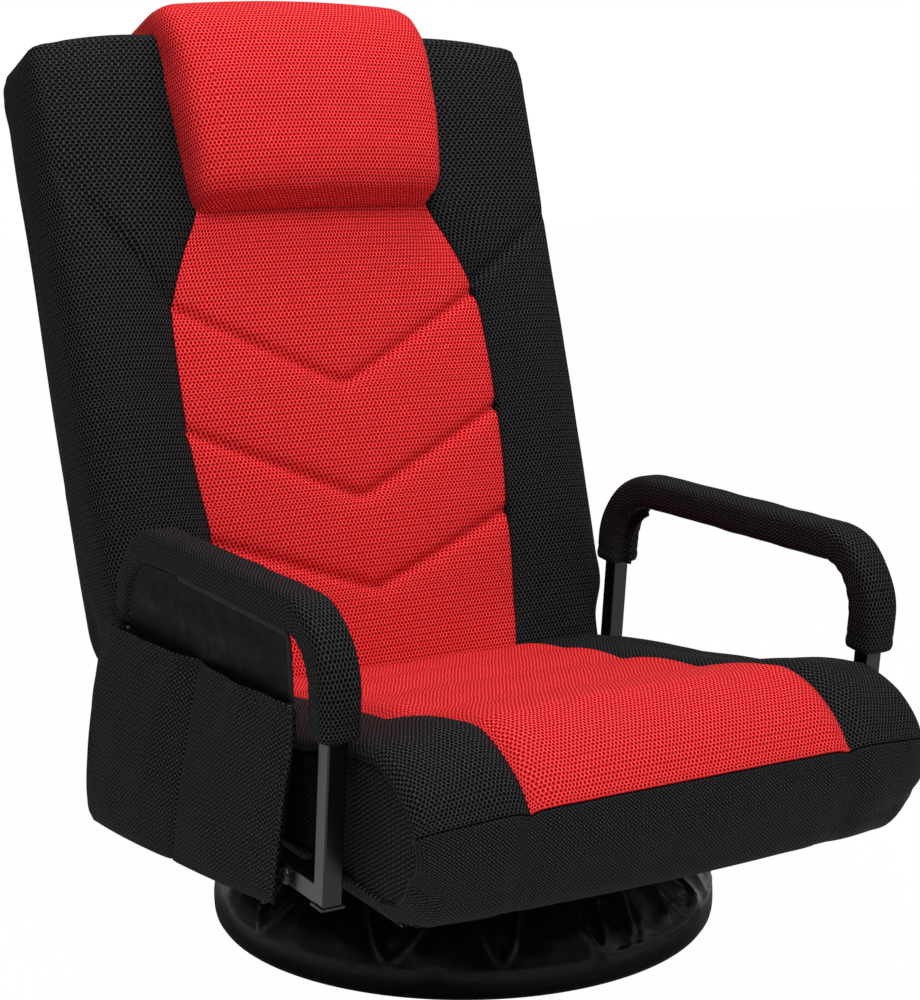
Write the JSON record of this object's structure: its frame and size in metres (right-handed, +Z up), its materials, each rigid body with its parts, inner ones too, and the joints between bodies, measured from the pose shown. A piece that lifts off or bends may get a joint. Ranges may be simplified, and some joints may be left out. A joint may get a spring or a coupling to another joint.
{
  "type": "floor gaming chair",
  "caption": "Legless swivel floor chair with a reclining padded back, head cushion, loop arms with padded sleeves and a side pouch.",
  "frame": {"origin": "on the floor, on the swivel axis, under the centre of the base ring", "axes": "+Z up, the chair faces -Y at rest, +X towards the viewer's right of the chair seen from the front"},
  "size_m": [0.6353, 0.8511, 0.8863],
  "materials": {
    "black_steel": "satin powder coat",
    "zinc_steel": "zinc plated",
    "black_bolt": "black oxide",
    "bearing_steel": "polished",
    "glide_plastic": "matte",
    "cap_plastic": "matte",
    "skirt_nylon": "glossy woven nylon",
    "elastic": "matte",
    "webbing": "woven strap",
    "lining_cloth": "spun-bonded cloth",
    "black_mesh": "air mesh over foam",
    "red_mesh": "air mesh over foam",
    "pouch_cloth": "mesh outside, smooth cloth inside"
  },
  "bodies": {
    "base": {"base_ring": "black_steel", "base_feet": "glide_plastic", "base_hub": "black_steel", "base_spokes": "black_steel", "swivel_lower_plate": "black_steel", "swivel_pin": "zinc_steel", "swivel_bolts_lower": "zinc_steel", "base_skirt": "skirt_nylon", "skirt_elastic": "elastic"},
    "ball_cage": {"swivel_balls": "bearing_steel", "swivel_ball_cage": "zinc_steel"},
    "seat": {"swivel_upper_plate": "black_steel", "swivel_bolts_upper": "zinc_steel", "seat_frame": "black_steel", "seat_rear_bar": "black_steel", "seat_rails": "black_steel", "seat_webbing": "webbing", "seat_underside_cloth": "lining_cloth", "seat_cushion": "black_mesh", "seat_centre_panel": "red_mesh", "hinge_cheeks_right": "black_steel", "hinge_cheeks_left": "black_steel", "hinge_pins": "zinc_steel", "pawl_pins": "zinc_steel", "pawl_springs": "zinc_steel", "arm_right": "black_steel", "arm_left": "black_steel", "arm_end_caps": "cap_plastic", "arm_sleeve_right": "black_mesh", "arm_sleeve_left": "black_mesh", "arm_bolts": "black_bolt", "arm_washers": "black_bolt", "arm_spacers": "black_steel", "arm_nuts": "zinc_steel", "side_pouch": "pouch_cloth"},
    "pawl_right": {"pawl_right": "zinc_steel"},
    "pawl_left": {"pawl_left": "zinc_steel"},
    "back": {"ratchet_wheel_right": "zinc_steel", "ratchet_wheel_left": "zinc_steel", "back_frame": "black_steel", "back_rails": "black_steel", "back_webbing": "webbing", "back_cushion": "black_mesh", "back_rear_cover": "black_mesh", "back_centre_panel": "red_mesh", "head_cushion": "red_mesh"}
  },
  "joints": [
    {"name": "swivel", "type": "hinge", "parent": "base", "child": "seat", "pos_m": [0, 0, 0.131], "axis": [0, 0, 1], "continuous": true},
    {"name": "ball_cage_turn", "type": "hinge", "parent": "base", "child": "ball_cage", "pos_m": [0, 0, 0.131], "axis": [0, 0, 1], "continuous": true},
    {"name": "recline", "type": "hinge", "parent": "seat", "child": "back", "pos_m": [0, 0.1864, 0.156], "axis": [-1, 0, 0], "range_deg": [0, 71.1]},
    {"name": "pawl_right", "type": "hinge", "parent": "seat", "child": "pawl_right", "pos_m": [0.232, 0.1424, 0.15], "axis": [1, 0, 0], "range_deg": [0, 9], "stiffness_Nm_per_rad": 0.05, "springref_deg": -11.46},
    {"name": "pawl_left", "type": "hinge", "parent": "seat", "child": "pawl_left", "pos_m": [-0.232, 0.1424, 0.15], "axis": [1, 0, 0], "range_deg": [0, 9], "stiffness_Nm_per_rad": 0.05, "springref_deg": -11.46}
  ],
  "couplings": [
    {"joint": "ball_cage_turn", "follows": "swivel", "ratio": 0.5}
  ]
}
